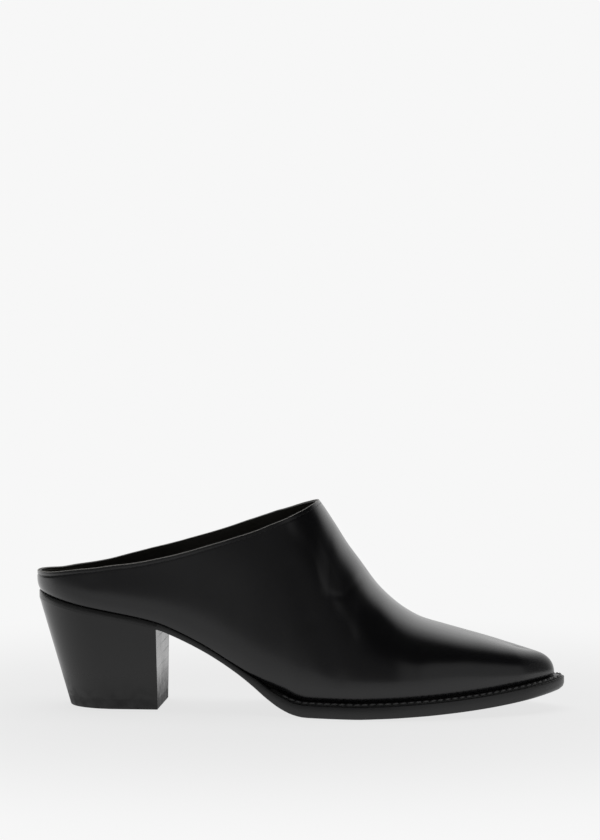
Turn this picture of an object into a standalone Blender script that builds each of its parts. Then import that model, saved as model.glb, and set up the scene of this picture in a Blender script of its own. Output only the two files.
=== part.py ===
"""A low-backed leather mule with a high vamp, a pointed toe and a stacked block heel, for the right foot.

Units are metres. +X points to the toe, -Y to the outer side of the foot and +Z up. The floor is Z = 0, and the
origin lies on it under the middle of the sole's length and width. Widths, heights and curves are given in short
tables of shares, each share taken of the named size that its column follows.
"""

import math

import bmesh
import bpy
import numpy as np
from mathutils import Vector

# Overall sizes
LENGTH = 0.2575
BALL_WIDTH = 0.090
HEEL_HEIGHT = 0.053
TOE_SPRING = 0.0108
INSTEP_HEIGHT = 0.0933

# Thicknesses of the layers
WALL = 0.0018
WAIST_EDGE = 0.0032
FOREPART_EDGE = 0.0062
WELT_THICKNESS = 0.0012
INSOLE_THICKNESS = 0.0030
TOP_LIFT = 0.0051
GAP = 0.0003

# How far each outline lies inside the sole's edge
WAIST_LEDGE = 0.0003
FOREPART_LEDGE = 0.0049
WELT_SETBACK = 0.0010
EDGE_BEVEL = 0.0003
INSOLE_SLACK = 0.0005

# Plan roundings and the swell of the upper over its seat
HEEL_ROUND = 0.027
TOE_ROUND = 0.018
SIDE_SWELL = 0.0016
SWELL_HEIGHT = 0.010

# The heel's block
HEEL_LENGTH = 0.0608
HEEL_RAKE = 0.0155
HEEL_BASE_WIDTH = 0.0430
HEEL_BASE_ROUND = 0.025

# Places along the shoe, as shares of its length from the back
THROAT = 0.534
WELT_START = 0.455
RIDGE_END = 0.905
RIDGE_FADE = 0.78
HEEL_CENTRE = 0.105
HEEL_FADE = 0.26
BALL_START = 0.50
BALL_END = 0.85
LEAN_RAMP = 0.10

# Mesh counts
REAR_COLUMNS = 26
FRONT_COLUMNS = 28
WALL_ROWS = 11
SLAB_STATIONS = 60
HEEL_STATIONS = 16
HEEL_ROWS = 7
BALL_SAMPLES = 71

SMOOTH_ANGLE = math.radians(35.0)
LATERAL = -1.0
MEDIAL = 1.0


class Table:
    """Rows of shares under named columns, read with a smooth curve that keeps between its rows."""

    def __init__(self, names, rows):
        self.names = names
        self.values = np.array(rows, float)
        self.along = self.values[:, 0]

    def at(self, name, along):
        ys = self.values[:, self.names.index(name)]
        xs = self.along
        x = min(max(along, xs[0]), xs[-1])
        i = min(int(np.searchsorted(xs, x, side="right")) - 1, len(xs) - 2)
        step = xs[i + 1] - xs[i]
        t = (x - xs[i]) / step
        here = self.slope(xs, ys, i) * step
        there = self.slope(xs, ys, i + 1) * step
        blend = t * t * (3.0 - 2.0 * t)
        pull = t * (1.0 - t)
        return ys[i] + (ys[i + 1] - ys[i]) * blend + pull * (here * (1.0 - t) - there * t)

    @staticmethod
    def slope(xs, ys, i):
        last = len(xs) - 1
        if i == 0:
            return (ys[1] - ys[0]) / (xs[1] - xs[0])
        if i == last:
            return (ys[last] - ys[last - 1]) / (xs[last] - xs[last - 1])
        before = (ys[i] - ys[i - 1]) / (xs[i] - xs[i - 1])
        after = (ys[i + 1] - ys[i]) / (xs[i + 1] - xs[i])
        if before * after <= 0.0:
            return 0.0
        return 2.0 * before * after / (before + after)


# The sole's outline: its axis and its two sides, as shares of the ball width
OUTLINE = Table(
    ("along", "axis", "lateral", "medial"),
    (
        (0.00, 0.000, 0.290, 0.290),
        (0.07, 0.000, 0.304, 0.304),
        (0.15, 0.000, 0.314, 0.312),
        (0.24, 0.000, 0.314, 0.300),
        (0.32, 0.000, 0.320, 0.258),
        (0.38, 0.000, 0.348, 0.242),
        (0.44, 0.000, 0.403, 0.271),
        (0.50, 0.000, 0.467, 0.331),
        (0.56, 0.000, 0.518, 0.385),
        (0.62, 0.002, 0.544, 0.427),
        (0.68, 0.008, 0.548, 0.448),
        (0.74, 0.016, 0.524, 0.440),
        (0.80, 0.024, 0.467, 0.407),
        (0.86, 0.033, 0.389, 0.347),
        (0.92, 0.043, 0.291, 0.271),
        (0.96, 0.050, 0.222, 0.213),
        (1.00, 0.056, 0.161, 0.156),
    ),
)

# The sole's underside: a share of the heel height and one of the toe spring
UNDERSIDE = Table(
    ("along", "heel", "toe"),
    (
        (0.000, 1.000, 0.000),
        (0.045, 0.948, 0.000),
        (0.090, 0.899, 0.000),
        (0.130, 0.861, 0.000),
        (0.170, 0.825, 0.000),
        (0.210, 0.786, 0.000),
        (0.240, 0.748, 0.000),
        (0.270, 0.690, 0.000),
        (0.310, 0.598, 0.000),
        (0.350, 0.491, 0.000),
        (0.390, 0.368, 0.000),
        (0.420, 0.262, 0.000),
        (0.450, 0.146, 0.000),
        (0.475, 0.068, 0.000),
        (0.500, 0.018, 0.000),
        (0.520, 0.001, 0.000),
        (0.530, 0.000, 0.000),
        (0.620, 0.000, 0.000),
        (0.660, 0.000, 0.035),
        (0.730, 0.000, 0.120),
        (0.800, 0.000, 0.230),
        (0.870, 0.000, 0.390),
        (0.940, 0.000, 0.625),
        (0.970, 0.000, 0.745),
        (1.000, 0.000, 0.885),
    ),
)

# How far the sole has grown from its waist to its forepart, and how far it makes room for the welt
GROWTH = Table(
    ("along", "edge", "room"),
    (
        (0.000, 0.06, 0.0),
        (0.200, 0.03, 0.0),
        (0.360, 0.00, 0.0),
        (0.400, 0.10, 0.0),
        (0.425, 0.36, 0.0),
        (0.445, 0.70, 0.6),
        (0.455, 0.86, 1.0),
        (0.475, 1.00, 1.0),
        (0.920, 1.00, 1.0),
        (1.000, 0.98, 1.0),
    ),
)

# The collar's height over the sole on each side, as shares of the instep height
COLLAR = Table(
    ("along", "lateral", "medial"),
    (
        (0.000, 0.100, 0.100),
        (0.030, 0.126, 0.112),
        (0.060, 0.158, 0.140),
        (0.090, 0.188, 0.168),
        (0.120, 0.213, 0.200),
        (0.150, 0.241, 0.238),
        (0.200, 0.285, 0.302),
        (0.240, 0.335, 0.358),
        (0.285, 0.417, 0.446),
        (0.340, 0.541, 0.572),
        (0.415, 0.735, 0.772),
        (0.455, 0.843, 0.874),
        (0.490, 0.928, 0.952),
        (0.517, 0.976, 0.988),
        (0.534, 1.000, 1.000),
    ),
)

# The top line of the last, as shares of the instep height, and how square each section is
RIDGE = Table(
    ("along", "height", "side_power", "top_power"),
    (
        (0.100, 1.35, 2.2, 2.6),
        (0.300, 1.38, 2.2, 2.6),
        (0.400, 1.32, 2.1, 2.6),
        (0.450, 1.24, 2.0, 2.6),
        (0.490, 1.13, 2.0, 2.5),
        (0.534, 1.000, 2.0, 2.4),
        (0.563, 0.883, 2.0, 2.3),
        (0.588, 0.773, 2.0, 2.3),
        (0.614, 0.676, 2.0, 2.3),
        (0.645, 0.557, 2.0, 2.5),
        (0.672, 0.479, 2.1, 2.7),
        (0.700, 0.417, 2.1, 3.0),
        (0.730, 0.368, 2.2, 3.2),
        (0.773, 0.324, 2.4, 3.5),
        (0.811, 0.286, 2.5, 3.7),
        (0.854, 0.242, 2.5, 3.1),
        (0.896, 0.191, 2.2, 2.4),
        (0.930, 0.143, 2.0, 2.0),
    ),
)

# How far the wall swells out over its seat, and how high up, as shares of the named swell
SWELL = Table(
    ("along", "bulge", "height"),
    (
        (0.00, 1.0, 0.65),
        (0.20, 1.0, 0.80),
        (0.35, 1.0, 1.10),
        (0.80, 1.0, 1.05),
        (0.92, 0.7, 0.85),
        (1.00, 0.0, 0.70),
    ),
)


def back_x():
    """The frame's X at the back end of the sole."""
    return -LENGTH / 2.0


def axis_y():
    """The frame's Y of the heel's middle line, which centres the sole's width on the origin."""
    ball = np.linspace(BALL_START, BALL_END, BALL_SAMPLES)
    out = max(OUTLINE.at("lateral", a) - OUTLINE.at("axis", a) for a in ball)
    into = max(OUTLINE.at("medial", a) + OUTLINE.at("axis", a) for a in ball)
    return (out - into) * BALL_WIDTH / 2.0


AXIS_Y = axis_y()


def share(x):
    return (x - back_x()) / LENGTH


def line_y(x):
    """Y of the shoe's own axis, which bends inwards to the toe."""
    return AXIS_Y + OUTLINE.at("axis", share(x)) * BALL_WIDTH


def round_end(distance, radius):
    """A quarter ellipse that closes an outline at its end."""
    if distance >= radius:
        return 1.0
    return math.sqrt(max(0.0, 1.0 - (1.0 - distance / radius) ** 2))


def underside(x):
    a = share(x)
    return HEEL_HEIGHT * UNDERSIDE.at("heel", a) + TOE_SPRING * UNDERSIDE.at("toe", a)


def sole_top(x):
    """The top of the outsole, which drops by a welt's thickness in the forepart."""
    a = share(x)
    edge = WAIST_EDGE + (FOREPART_EDGE + WELT_THICKNESS + GAP - WAIST_EDGE) * GROWTH.at("edge", a)
    return underside(x) + edge - (WELT_THICKNESS + GAP) * GROWTH.at("room", a)


def platform(x):
    """The surface that the upper stands on."""
    return sole_top(x) + (WELT_THICKNESS + GAP) * GROWTH.at("room", share(x)) + GAP


def ledge(x):
    """How far the upper's foot lies inside the sole's edge."""
    return WAIST_LEDGE + (FOREPART_LEDGE - WAIST_LEDGE) * GROWTH.at("edge", share(x))


def edge_point(side, turn):
    """A point of the sole's outline. turn runs from 0 at the back to 1 at the toe's tip."""
    along = (1.0 - math.cos(math.pi * turn)) / 2.0
    x = back_x() + LENGTH * along
    half = OUTLINE.at("lateral" if side < 0.0 else "medial", along) * BALL_WIDTH
    half *= round_end(along * LENGTH, HEEL_ROUND) * round_end((1.0 - along) * LENGTH, TOE_ROUND)
    return np.array([x, line_y(x) + side * half])


def inward(side, turn):
    """The unit vector in plan from the outline to the inside of the shoe."""
    step = 0.002
    before = edge_point(side, turn - step) if turn > step else edge_point(-side, step - turn)
    after = edge_point(side, turn + step) if turn < 1.0 - step else edge_point(-side, 2.0 - step - turn)
    tangent = after - before
    normal = np.array([tangent[1], -tangent[0]]) * side
    return normal / np.hypot(normal[0], normal[1])


def turn_of(along):
    return math.acos(1.0 - 2.0 * along) / math.pi


def ridge_x(along):
    """X where the wall that starts at this share meets the top line. The walls fan out at both ends."""
    a = along
    if along > RIDGE_FADE:
        reach = 1.0 - RIDGE_FADE
        part = (along - RIDGE_FADE) / reach
        a = RIDGE_FADE + reach * part - (1.0 - RIDGE_END) * part * part
    if along < HEEL_FADE:
        part = (HEEL_FADE - along) / HEEL_FADE
        a = HEEL_FADE - HEEL_FADE * part + HEEL_CENTRE * part * part
    return back_x() + LENGTH * a


def top_line(x):
    """Height of the upper's middle line. Behind the throat it is only the crown that the walls aim at."""
    return platform(x) + INSTEP_HEIGHT * RIDGE.at("height", share(x))


def top_slope(x):
    step = LENGTH / 500.0
    return (top_line(x + step) - top_line(x - step)) / (2.0 * step)


def wall_point(side, along, rise):
    """A point of the upper's outer face. rise runs from 0 at the sole to 1 at the wall's top edge."""
    turn = turn_of(along)
    outer = edge_point(side, turn)
    foot = outer + inward(side, turn) * ledge(outer[0])
    rx = ridge_x(along)
    top = np.array([rx, line_y(rx)])
    base = platform(foot[0])
    summit = top_line(rx) - base
    side_power = RIDGE.at("side_power", share(rx))
    top_power = RIDGE.at("top_power", share(rx))
    end = math.pi / 2.0
    if along < THROAT:
        reach = INSTEP_HEIGHT * COLLAR.at("lateral" if side < 0.0 else "medial", along) / summit
        end = math.asin(min(1.0, reach) ** (top_power / 2.0))
    angle = end * rise
    height = summit * math.sin(angle) ** (2.0 / top_power)
    spread = max(0.0, math.cos(angle)) ** (2.0 / side_power)
    flat = top + (foot - top) * spread
    out = (foot - top) / max(1e-9, np.hypot(*(foot - top)))
    part = height / (SWELL_HEIGHT * SWELL.at("height", along))
    bulge = SIDE_SWELL * SWELL.at("bulge", along)
    flat = flat + out * bulge * part * math.exp(1.0 - part) * min(1.0, spread * 2.0)
    ramp = min(max((along - RIDGE_FADE) / LEAN_RAMP, 0.0), 1.0)
    lean = top_slope(rx) * (flat[0] - rx) * (1.0 - spread) ** 2
    return Vector((flat[0], flat[1], base + height + lean * ramp * ramp * (3.0 - 2.0 * ramp)))


def collection(name):
    made = bpy.data.collections.new(name)
    bpy.context.scene.collection.children.link(made)
    return made


def material(name, colour, roughness, metallic=0.0):
    made = bpy.data.materials.new(name)
    made.use_nodes = True
    shader = made.node_tree.nodes["Principled BSDF"]
    shader.inputs["Base Color"].default_value = (*colour, 1.0)
    shader.inputs["Roughness"].default_value = roughness
    shader.inputs["Metallic"].default_value = metallic
    return made


def finish(name, mesh_data, look, where):
    """Turns a bmesh into a named, smooth-shaded object."""
    bmesh.ops.remove_doubles(mesh_data, verts=mesh_data.verts, dist=1e-6)
    bmesh.ops.recalc_face_normals(mesh_data, faces=mesh_data.faces)
    mesh = bpy.data.meshes.new(name)
    mesh_data.to_mesh(mesh)
    mesh_data.free()
    mesh.shade_smooth()
    mesh.set_sharp_from_angle(angle=SMOOTH_ANGLE)
    made = bpy.data.objects.new(name, mesh)
    made.data.materials.append(look)
    where.objects.link(made)
    return made


def skin(mesh_data, grid):
    """Quads between neighbouring columns of a grid of vertices."""
    for left, right in zip(grid, grid[1:]):
        for low in range(len(left) - 1):
            corners = [left[low], right[low], right[low + 1], left[low + 1]]
            kept = [c for i, c in enumerate(corners) if c not in corners[:i]]
            if len(kept) > 2:
                mesh_data.faces.new(kept)


def column_places():
    """Where the upper's columns stand: close together at the heel, the throat and the toe."""
    rear = [THROAT * (1.0 - math.cos(math.pi * i / REAR_COLUMNS)) / 2.0 for i in range(REAR_COLUMNS)]
    span = 1.0 - THROAT
    front = [span * (1.0 - math.cos(math.pi * i / FRONT_COLUMNS)) / 2.0 for i in range(FRONT_COLUMNS + 1)]
    return rear + [THROAT + place for place in front]


def build_upper(look, where):
    """One open skin from the sole to the collar and over the vamp, given its leather's thickness inwards."""
    mesh_data = bmesh.new()
    rises = [(i / WALL_ROWS) ** 1.25 for i in range(WALL_ROWS + 1)]
    shared = {}
    grids = []
    for side in (LATERAL, MEDIAL):
        grid = []
        for number, along in enumerate(column_places()):
            column = []
            for row, rise in enumerate(rises):
                joined = along in (0.0, 1.0) or (along >= THROAT and row == WALL_ROWS)
                key = (number, row)
                if joined and key in shared:
                    column.append(shared[key])
                    continue
                vertex = mesh_data.verts.new(wall_point(side, along, rise))
                if joined:
                    shared[key] = vertex
                column.append(vertex)
            grid.append(column)
        grids.append(grid)
    for grid in grids:
        skin(mesh_data, grid)
    made = finish("upper", mesh_data, look, where)
    thick = made.modifiers.new("leather", "SOLIDIFY")
    thick.thickness = WALL
    thick.offset = -1.0
    thick.use_even_offset = True
    return made


def strip(mesh_data, rings):
    """A closed solid from rings of two sides each: ring 0 is the bottom, the last ring the top."""
    for low, high in zip(rings, rings[1:]):
        for side in (0, 1):
            skin(mesh_data, [[a, b] for a, b in zip(low[side], high[side])])
    for ring in (rings[0], rings[-1]):
        skin(mesh_data, [[a, b] for a, b in zip(ring[0], ring[1])])


def slab(name, inset, low, high, bevel, look, where):
    """A plate with the shoe's outline, held between two heights that vary along the shoe."""
    mesh_data = bmesh.new()
    rings = []
    levels = ((bevel, 0.0), (0.0, bevel), (0.0, -bevel), (bevel, 0.0))
    for number, (extra, lift) in enumerate(levels):
        ring = []
        ends = {}
        for side in (LATERAL, MEDIAL):
            line = []
            for i in range(SLAB_STATIONS + 1):
                turn = i / SLAB_STATIONS
                if i in (0, SLAB_STATIONS) and i in ends:
                    line.append(ends[i])
                    continue
                edge = edge_point(side, turn)
                point = edge + inward(side, turn) * (inset(edge[0]) + extra)
                height = (low if number < 2 else high)(point[0]) + lift
                vertex = mesh_data.verts.new((point[0], point[1], height))
                if i in (0, SLAB_STATIONS):
                    ends[i] = vertex
                line.append(vertex)
            ring.append(line)
        rings.append(ring)
    strip(mesh_data, rings)
    return finish(name, mesh_data, look, where)


def build_welt(look, where):
    """A thin strip round the forepart, from one side of the ball past the toe to the other."""
    mesh_data = bmesh.new()
    first = turn_of(WELT_START)
    turns = [first + (1.0 - first) * i / SLAB_STATIONS for i in range(SLAB_STATIONS + 1)]
    path = [(LATERAL, t) for t in turns] + [(MEDIAL, t) for t in reversed(turns[:-1])]
    sections = []
    for side, turn in path:
        edge = edge_point(side, turn)
        into = inward(side, turn)
        outer = edge + into * WELT_SETBACK
        inner = edge + into * (ledge(edge[0]) + WALL + INSOLE_SLACK - GAP)
        section = []
        for point, lift in ((outer, 0.0), (inner, 0.0), (inner, WELT_THICKNESS), (outer, WELT_THICKNESS)):
            height = sole_top(point[0]) + GAP + lift
            section.append(mesh_data.verts.new((point[0], point[1], height)))
        sections.append(section)
    for one, two in zip(sections, sections[1:]):
        for i in range(4):
            j = (i + 1) % 4
            mesh_data.faces.new((one[i], one[j], two[j], two[i]))
    mesh_data.faces.new(sections[0])
    mesh_data.faces.new(sections[-1])
    return finish("welt", mesh_data, look, where)


def heel_outline(side, place, level):
    """A point of the heel's block. place runs from the back to the breast, level from the seat to the floor."""
    along = HEEL_LENGTH / LENGTH * (1.0 - math.cos(math.pi / 2.0 * place))
    turn = turn_of(along)
    seat = edge_point(side, turn)
    length = HEEL_LENGTH - HEEL_RAKE
    forward = (seat[0] - back_x()) / HEEL_LENGTH * length
    half = HEEL_BASE_WIDTH / 2.0 * round_end(forward, HEEL_BASE_ROUND)
    base = np.array([back_x() + HEEL_RAKE + forward, AXIS_Y + side * half])
    return seat + (base - seat) * level


def block(name, top, bottom, rows, look, where):
    """A slice of the heel between two heights; each height is a function of a point and its level."""
    mesh_data = bmesh.new()
    rings = []
    for row in range(rows + 1):
        part = row / rows
        ring = []
        ends = {}
        for side in (LATERAL, MEDIAL):
            line = []
            for i in range(HEEL_STATIONS + 1):
                if i == 0 and i in ends:
                    line.append(ends[i])
                    continue
                place = i / HEEL_STATIONS
                start = heel_outline(side, place, 0.0)
                seat_z = underside(start[0]) - GAP
                high = top(seat_z)
                low = bottom(seat_z)
                z = low + (high - low) * part
                point = heel_outline(side, place, 1.0 - z / seat_z)
                vertex = mesh_data.verts.new((point[0], point[1], z))
                if i == 0:
                    ends[i] = vertex
                line.append(vertex)
            ring.append(line)
        rings.append(ring)
    strip(mesh_data, rings)
    breast = [[ring[0][-1] for ring in rings], [ring[1][-1] for ring in rings]]
    skin(mesh_data, breast)
    return finish(name, mesh_data, look, where)


def main():
    for old in list(bpy.data.objects):
        bpy.data.objects.remove(old, do_unlink=True)
    parts = collection("heeled_mule")
    calf = material("polished_calf", (0.012, 0.012, 0.013), 0.30)
    sock = material("sock_leather", (0.020, 0.019, 0.016), 0.60)
    edge = material("sole_edge", (0.030, 0.030, 0.031), 0.38)
    lacquer = material("heel_lacquer", (0.025, 0.025, 0.026), 0.22)
    rubber = material("top_rubber", (0.020, 0.020, 0.020), 0.70)
    build_upper(calf, parts)
    slab(
        "insole",
        lambda x: ledge(x) + WALL + INSOLE_SLACK,
        lambda x: sole_top(x) + GAP,
        lambda x: platform(x) + INSOLE_THICKNESS,
        EDGE_BEVEL,
        sock,
        parts,
    )
    build_welt(edge, parts)
    slab("outsole", lambda x: 0.0, underside, sole_top, EDGE_BEVEL, edge, parts)
    block("heel", lambda seat: seat, lambda seat: TOP_LIFT + GAP, HEEL_ROWS, lacquer, parts)
    block("top_lift", lambda seat: TOP_LIFT, lambda seat: 0.0, 1, rubber, parts)


main()
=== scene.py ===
# %% [markdown]
# # A black block-heeled mule
#
# This lesson dresses a right-foot mule: a polished calf upper, a stitched welt, an inked sole, a sock and a
# stacked heel under gloss paint. The exact solids come first and stay as the reference for every size.
# We load them, list their names, and build finer pieces over them from the same sizes.

# %% Load the shoe's solids
import math

import bmesh
import bpy
import numpy as np
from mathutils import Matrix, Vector
from mathutils.bvhtree import BVHTree


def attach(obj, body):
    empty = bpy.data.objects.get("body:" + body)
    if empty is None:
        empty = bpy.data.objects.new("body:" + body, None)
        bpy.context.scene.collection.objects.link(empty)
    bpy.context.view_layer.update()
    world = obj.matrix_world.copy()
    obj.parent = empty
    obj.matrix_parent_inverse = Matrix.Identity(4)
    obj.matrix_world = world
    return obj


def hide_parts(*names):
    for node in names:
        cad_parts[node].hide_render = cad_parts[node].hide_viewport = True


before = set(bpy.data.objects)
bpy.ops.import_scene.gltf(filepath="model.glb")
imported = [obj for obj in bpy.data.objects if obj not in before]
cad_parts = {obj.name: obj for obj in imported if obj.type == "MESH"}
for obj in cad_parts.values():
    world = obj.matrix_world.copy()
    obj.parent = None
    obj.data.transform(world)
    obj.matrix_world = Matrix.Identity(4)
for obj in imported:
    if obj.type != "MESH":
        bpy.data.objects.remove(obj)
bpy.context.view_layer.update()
print("solids:", sorted(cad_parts))

# %% [markdown]
# ## The sizes
#
# A shoemaker writes down a few lengths before cutting anything: how long the last is, how wide the ball, how
# high the heel and the instep. Every curve below is a share of one of these, so the numbers stay readable.

# %% Sizes of the last, the layers and the heel
LENGTH = 0.2575
BALL_WIDTH = 0.090
HEEL_HEIGHT = 0.053
TOE_SPRING = 0.0108
INSTEP_HEIGHT = 0.0933
WALL = 0.0018
WAIST_EDGE = 0.0032
FOREPART_EDGE = 0.0062
WELT_THICKNESS = 0.0012
INSOLE_THICKNESS = 0.0030
TOP_LIFT = 0.0051
GAP = 0.0003
WAIST_LEDGE = 0.0003
FOREPART_LEDGE = 0.0049
WELT_SETBACK = 0.0010
INSOLE_SLACK = 0.0005
HEEL_ROUND = 0.027
TOE_ROUND = 0.018
SIDE_SWELL = 0.0016
SWELL_HEIGHT = 0.010
HEEL_LENGTH = 0.0608
HEEL_RAKE = 0.0155
HEEL_BASE_WIDTH = 0.0430
HEEL_BASE_ROUND = 0.025
THROAT = 0.534
WELT_START = 0.455
RIDGE_END = 0.905
RIDGE_FADE = 0.78
HEEL_CENTRE = 0.105
HEEL_FADE = 0.26
LEAN_RAMP = 0.10
LATERAL, MEDIAL = -1.0, 1.0
BACK = -LENGTH / 2.0
print(f"the shoe is {LENGTH * 1000:.0f} mm long and {BALL_WIDTH * 1000:.0f} mm wide at the ball")


# %% [markdown]
# ## Tables of sections
#
# A last is a set of sections along the foot. Each table has a row per section and a named column per value.
# A smooth curve runs through the rows. It never overshoots them, which keeps flat stretches flat.

# %% A table that is read with a smooth curve
class Table:
    def __init__(self, names, rows):
        self.names = names
        self.values = np.array(rows, float)

    def at(self, name, along):
        xs = self.values[:, 0]
        ys = self.values[:, self.names.index(name)]
        step = np.diff(xs)
        rate = np.diff(ys) / step
        both = rate[:-1] * rate[1:]
        mean = np.where(both > 0.0, 2.0 * both / np.where(both > 0.0, rate[:-1] + rate[1:], 1.0), 0.0)
        slope = np.concatenate([rate[:1], mean, rate[-1:]])
        x = np.clip(along, xs[0], xs[-1])
        i = np.clip(np.searchsorted(xs, x, side="right") - 1, 0, len(xs) - 2)
        t = (x - xs[i]) / step[i]
        blend = t * t * (3.0 - 2.0 * t)
        pull = t * (1.0 - t) * step[i]
        return ys[i] + (ys[i + 1] - ys[i]) * blend + pull * (slope[i] * (1.0 - t) - slope[i + 1] * t)


OUTLINE = Table(("along", "axis", "lateral", "medial"), (
    (0.00, 0.000, 0.290, 0.290), (0.07, 0.000, 0.304, 0.304), (0.15, 0.000, 0.314, 0.312),
    (0.24, 0.000, 0.314, 0.300), (0.32, 0.000, 0.320, 0.258), (0.38, 0.000, 0.348, 0.242),
    (0.44, 0.000, 0.403, 0.271), (0.50, 0.000, 0.467, 0.331), (0.56, 0.000, 0.518, 0.385),
    (0.62, 0.002, 0.544, 0.427), (0.68, 0.008, 0.548, 0.448), (0.74, 0.016, 0.524, 0.440),
    (0.80, 0.024, 0.467, 0.407), (0.86, 0.033, 0.389, 0.347), (0.92, 0.043, 0.291, 0.271),
    (0.96, 0.050, 0.222, 0.213), (1.00, 0.056, 0.161, 0.156),
))
UNDERSIDE = Table(("along", "heel", "toe"), (
    (0.000, 1.000, 0.000), (0.045, 0.948, 0.000), (0.090, 0.899, 0.000), (0.130, 0.861, 0.000),
    (0.170, 0.825, 0.000), (0.210, 0.786, 0.000), (0.240, 0.748, 0.000), (0.270, 0.690, 0.000),
    (0.310, 0.598, 0.000), (0.350, 0.491, 0.000), (0.390, 0.368, 0.000), (0.420, 0.262, 0.000),
    (0.450, 0.146, 0.000), (0.475, 0.068, 0.000), (0.500, 0.018, 0.000), (0.520, 0.001, 0.000),
    (0.530, 0.000, 0.000), (0.620, 0.000, 0.000), (0.660, 0.000, 0.035), (0.730, 0.000, 0.120),
    (0.800, 0.000, 0.230), (0.870, 0.000, 0.390), (0.940, 0.000, 0.625), (0.970, 0.000, 0.745),
    (1.000, 0.000, 0.885),
))
GROWTH = Table(("along", "edge", "room"), (
    (0.000, 0.06, 0.0), (0.200, 0.03, 0.0), (0.360, 0.00, 0.0), (0.400, 0.10, 0.0), (0.425, 0.36, 0.0),
    (0.445, 0.70, 0.6), (0.455, 0.86, 1.0), (0.475, 1.00, 1.0), (0.920, 1.00, 1.0), (1.000, 0.98, 1.0),
))
COLLAR = Table(("along", "lateral", "medial"), (
    (0.000, 0.100, 0.100), (0.030, 0.126, 0.112), (0.060, 0.158, 0.140), (0.090, 0.188, 0.168),
    (0.120, 0.213, 0.200), (0.150, 0.241, 0.238), (0.200, 0.285, 0.302), (0.240, 0.335, 0.358),
    (0.285, 0.417, 0.446), (0.340, 0.541, 0.572), (0.415, 0.735, 0.772), (0.455, 0.843, 0.874),
    (0.490, 0.928, 0.952), (0.517, 0.976, 0.988), (0.534, 1.000, 1.000),
))
RIDGE = Table(("along", "height", "side_power", "top_power"), (
    (0.100, 1.350, 2.2, 2.6), (0.300, 1.380, 2.2, 2.6), (0.400, 1.320, 2.1, 2.6), (0.450, 1.240, 2.0, 2.6),
    (0.490, 1.130, 2.0, 2.5), (0.534, 1.000, 2.0, 2.4), (0.563, 0.883, 2.0, 2.3), (0.588, 0.773, 2.0, 2.3),
    (0.614, 0.676, 2.0, 2.3), (0.645, 0.557, 2.0, 2.5), (0.672, 0.479, 2.1, 2.7), (0.700, 0.417, 2.1, 3.0),
    (0.730, 0.368, 2.2, 3.2), (0.773, 0.324, 2.4, 3.5), (0.811, 0.286, 2.5, 3.7), (0.854, 0.242, 2.5, 3.1),
    (0.896, 0.191, 2.2, 2.4), (0.930, 0.143, 2.0, 2.0),
))
SWELL = Table(("along", "bulge", "height"), (
    (0.00, 1.0, 0.65), (0.20, 1.0, 0.80), (0.35, 1.0, 1.10), (0.80, 1.0, 1.05), (0.92, 0.7, 0.85),
    (1.00, 0.0, 0.70),
))
print("sections of the last:", len(RIDGE.values), "rows of the outline:", len(OUTLINE.values))


# %% [markdown]
# ## Reading the last
#
# Three surfaces carry everything: the sole's underside, the sole's top, and the platform that the upper stands
# on. The plan outline is walked by a "turn", which goes slowly round both ends so that they stay round.

# %% Heights and outlines
def share(x):
    return (x - BACK) / LENGTH


ball = np.linspace(0.50, 0.85, 71)
AXIS_Y = BALL_WIDTH / 2.0 * float(
    (OUTLINE.at("lateral", ball) - OUTLINE.at("axis", ball)).max()
    - (OUTLINE.at("medial", ball) + OUTLINE.at("axis", ball)).max()
)


def line_y(x):
    return AXIS_Y + OUTLINE.at("axis", share(x)) * BALL_WIDTH


def round_end(distance, radius):
    return np.sqrt(np.clip(1.0 - np.clip(1.0 - distance / radius, 0.0, 1.0) ** 2, 0.0, 1.0))


def underside(x):
    return HEEL_HEIGHT * UNDERSIDE.at("heel", share(x)) + TOE_SPRING * UNDERSIDE.at("toe", share(x))


def sole_top(x):
    rise = WAIST_EDGE + (FOREPART_EDGE + WELT_THICKNESS + GAP - WAIST_EDGE) * GROWTH.at("edge", share(x))
    return underside(x) + rise - (WELT_THICKNESS + GAP) * GROWTH.at("room", share(x))


def platform(x):
    return sole_top(x) + (WELT_THICKNESS + GAP) * GROWTH.at("room", share(x)) + GAP


def ledge(x):
    return WAIST_LEDGE + (FOREPART_LEDGE - WAIST_LEDGE) * GROWTH.at("edge", share(x))


def side_name(side):
    return "lateral" if side < 0.0 else "medial"


def edge_points(side, turn):
    """Points of the sole's outline. turn runs from 0 at the back to 1 at the toe's tip."""
    turn = np.asarray(turn, float)
    along = (1.0 - np.cos(math.pi * turn)) / 2.0
    half = OUTLINE.at(side_name(side), along) * BALL_WIDTH
    half = half * round_end(along * LENGTH, HEEL_ROUND) * round_end((1.0 - along) * LENGTH, TOE_ROUND)
    mirrored = np.where((turn < 0.0) | (turn > 1.0), -1.0, 1.0)
    x = BACK + LENGTH * along
    return np.stack([x, line_y(x) + side * mirrored * half], axis=-1)


def inward(side, turn):
    """Unit vectors in plan from the outline to the inside of the shoe."""
    step = 0.002
    tangent = edge_points(side, np.asarray(turn) + step) - edge_points(side, np.asarray(turn) - step)
    normal = np.stack([tangent[..., 1], -tangent[..., 0]], axis=-1) * side
    return normal / np.linalg.norm(normal, axis=-1, keepdims=True)


def inset_points(side, turn, inset):
    edge = edge_points(side, turn)
    return edge + inward(side, turn) * np.broadcast_to(inset, edge.shape[:-1])[..., None]


def turn_of(along):
    return np.arccos(1.0 - 2.0 * np.asarray(along)) / math.pi


tip = edge_points(LATERAL, 1.0)
print(f"toe's tip at x {tip[0] * 1000:.1f} mm, y {tip[1] * 1000:.1f} mm")
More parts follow.
